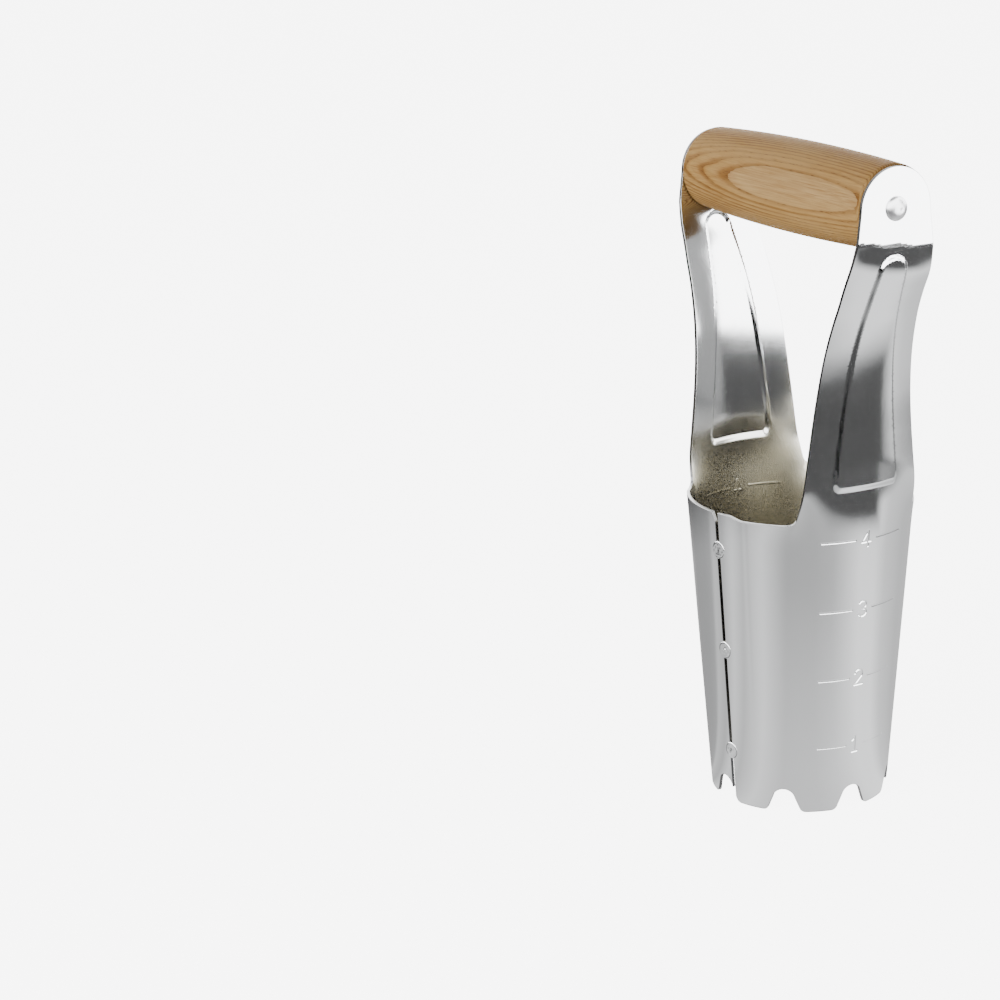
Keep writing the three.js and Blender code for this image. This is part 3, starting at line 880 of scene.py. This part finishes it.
def glow(name):
    """A material that only gives off light; returns its nodes and the strength socket.

    Paths that have met the wood find it dark, so the steel throws no hot spots on the grip."""
    nodes = Nodes(name)
    nodes.tree.nodes.remove(nodes.shader)
    emission = nodes.add("ShaderNodeEmission")
    path = nodes.add("ShaderNodeLightPath")
    before_wood = nodes.math("LESS_THAN", path.outputs["Diffuse Depth"], 0.5)
    nodes.link(before_wood, emission.inputs["Color"])
    nodes.link(emission.outputs["Emission"], nodes.tree.nodes["Material Output"].inputs["Surface"])
    return nodes, emission.inputs["Strength"]


def reflection_card(piece, material):
    """A stage piece that the steel reflects and that is otherwise not there."""
    piece.data.materials.append(material)
    piece.visible_camera = False
    piece.visible_diffuse = False
    piece.visible_shadow = False
    piece.visible_transmission = False
    piece.visible_volume_scatter = False


def direction_parts(nodes):
    """Rise (sine of elevation) and heading (in radians) of a place on a card, from its origin."""
    unit_vector = nodes.add("ShaderNodeVectorMath", operation="NORMALIZE")
    nodes.link(nodes.coordinates((1, 1, 1)), unit_vector.inputs[0])
    parts = nodes.add("ShaderNodeSeparateXYZ")
    nodes.link(unit_vector.outputs["Vector"], parts.inputs["Vector"])
    heading = nodes.math("ARCTAN2", parts.outputs["Y"], parts.outputs["X"])
    return parts.outputs["Z"], heading


def sector(nodes, heading, low, high, edge):
    """1 between two headings in degrees, falling smoothly to 0 over an edge at each side."""
    low, high, half_edge = math.radians(low), math.radians(high), math.radians(edge / 2)
    rises = nodes.span(heading, low - half_edge, low + half_edge, 0, 1)
    falls = nodes.span(heading, high - half_edge, high + half_edge, 1, 0)
    return nodes.math("MULTIPLY", rises, falls)


def between(nodes, share, low, high):
    """low where the share is 0 and high where it is 1. Each may be a number or a socket."""
    return nodes.math("MULTIPLY_ADD", share, nodes.math("SUBTRACT", high, low), low)


def studio_dome():
    """Beyond the table: bright walls from eye level up, the dim room under them, one tall grey gap
    between two walls, and a dim ceiling."""
    radius = 4
    bm = bmesh.new()
    bmesh.ops.create_uvsphere(bm, u_segments=96, v_segments=48, radius=radius)
    mesh = bpy.data.meshes.new("studio_dome")
    bm.to_mesh(mesh)
    bm.free()
    dome = bpy.data.objects.new("studio_dome", mesh)
    dome.location = (0, 0, 0.12)
    bpy.context.collection.objects.link(dome)
    nodes, strength = glow("studio_walls")
    rise, heading = direction_parts(nodes)
    degree = math.sin(math.radians(1))
    walls = nodes.span(rise, *(degree * height for height in WALL_BOTTOM), 0, 1)
    gap = nodes.math("MULTIPLY", sector(nodes, heading, *WALL_GAP, 3),
                     nodes.span(rise, *(degree * height for height in WALL_GAP_TOP), 1, 0))
    bright = between(nodes, gap, WALL_LIGHT, WALL_GAP_LIGHT)
    right = sector(nodes, heading, *RIGHT_ROOM, 4)
    dark = sector(nodes, heading, *DARK_ROOM, 6)
    dim = nodes.math("MULTIPLY_ADD", right, RIGHT_ROOM_LIGHT, ROOM_LIGHT)
    dim = nodes.math("MULTIPLY_ADD", dark, -ROOM_LIGHT, dim)
    light = between(nodes, walls, dim, bright)
    ceiling = nodes.span(rise, *(degree * height for height in CEILING), 0, 1)
    nodes.link(between(nodes, ceiling, light, CEILING_LIGHT), strength)
    reflection_card(dome, nodes.material)


def glowing_table():
    """Close by: a round pale table top, lit a little unevenly. Its lit part reaches further at the
    right and behind, and it is shaded a little towards the camera."""
    angles = np.linspace(0, 2 * math.pi, 96, endpoint=False)
    height = 0.0003
    ring = [(TABLE_RADIUS * math.cos(a), TABLE_RADIUS * math.sin(a), height) for a in angles]
    table = mesh_object("table_top_glow", np.array(ring) / MM, [tuple(range(len(ring)))])
    nodes, strength = glow("table_top_glow")
    heading = direction_parts(nodes)[1]
    turn = nodes.math("MULTIPLY_ADD", heading, 0.5 / math.pi, 0.5)
    stops = [((degrees + 180) / 360, (value / RAMP_TOP,) * 3) for degrees, value in TABLE_LIGHT]
    round_light = nodes.ramp(turn, stops)
    length = nodes.add("ShaderNodeVectorMath", operation="LENGTH")
    nodes.link(nodes.coordinates((1, 1, 1)), length.inputs[0])
    radius = length.outputs["Value"]
    shade = nodes.math("MULTIPLY", nodes.span(radius, 0.06, 0.21, 0, 0.36),
                       sector(nodes, heading, -62, 12, 30))
    shade = nodes.math("SUBTRACT", 1.0, shade)
    light = nodes.math("MULTIPLY", nodes.math("MULTIPLY", round_light, TABLE_BRIGHTNESS), shade)
    near_part = nodes.span(radius, 0.255, 0.35, 1, 0)
    far_part = nodes.math("MULTIPLY", sector(nodes, heading, 47, 130, 8),
                          nodes.span(radius, 0.42, 0.58, 1, 0))
    lit = nodes.math("MAXIMUM", near_part, far_part)
    nodes.link(between(nodes, lit, BEYOND_TABLE_LIGHT, light), strength)
    reflection_card(table, nodes.material)


def ear_card():
    """A small bright upright sheet where the flat ear looks."""
    heading, distance, half_width_of_card = math.radians(36.5), 0.12, 0.04
    low, high = 0.167, 0.217
    middle = np.array([EAR_FACE * MM + distance * math.cos(heading), distance * math.sin(heading)])
    across = half_width_of_card * np.array([-math.sin(heading), math.cos(heading)])
    corners = [(*(middle + side * across), height)
               for side, height in ((-1, low), (1, low), (1, high), (-1, high))]
    card = mesh_object("ear_card", np.array(corners) / MM, [(0, 1, 2, 3)])
    nodes, strength = glow("ear_card")
    strength.default_value = WALL_LIGHT
    reflection_card(card, nodes.material)


def soft_light(name, place, size, power):
    """A rectangular lamp turned to the middle of the planter, which no reflection shows."""
    data = bpy.data.lights.new(name, "AREA")
    data.shape = "RECTANGLE"
    data.size, data.size_y = size
    data.energy = power
    lamp = bpy.data.objects.new(name, data)
    bpy.context.collection.objects.link(lamp)
    lamp.location = place
    lamp.rotation_mode = "QUATERNION"
    lamp.rotation_quaternion = (Vector((0, 0, 0.12)) - lamp.location).to_track_quat("-Z", "Y")
    lamp.visible_glossy = False


def studio():
    """Soft light all round, strongest from below, one soft lamp, and what the steel reflects."""
    world = bpy.data.worlds.new("studio")
    bpy.context.scene.world = world
    world.use_nodes = True
    tree = world.node_tree
    background = tree.nodes["Background"]
    background.inputs["Color"].default_value = (1, 1, 1, 1)
    direction = tree.nodes.new("ShaderNodeTexCoord")
    parts = tree.nodes.new("ShaderNodeSeparateXYZ")
    level = tree.nodes.new("ShaderNodeMapRange")
    for key, number in {"From Min": -0.3, "From Max": 0.5, "To Min": 0.7, "To Max": 0.12}.items():
        level.inputs[key].default_value = number
    tree.links.new(direction.outputs["Generated"], parts.inputs["Vector"])
    tree.links.new(parts.outputs["Z"], level.inputs["Value"])
    tree.links.new(level.outputs["Result"], background.inputs["Strength"])
    soft_light("key", (0.55, -1.7, 0.55), (1.6, 1.2), 40)
    studio_dome()
    glowing_table()
    ear_card()


# The last colour is painted shade for the inside of the tube.
steel = plated_steel("plated_steel", (0.85, 0.86, 0.87), 0.105, (0.37, 0.355, 0.30))
rivet_steel = plated_steel("rivet_steel", (0.66, 0.66, 0.67), 0.3)
wood = ash_wood("ash_wood")

finish_piece(sheet_body(), "planter_body", steel)
for index, height in enumerate(WELD_HEIGHTS):
    finish_piece(tack_weld(index, height), "planter_body", steel)
finish_piece(grip(), "wooden_grip", wood)
finish_piece(rivet(), "through_rivet", rivet_steel)

camera()
plain_floor()
studio()
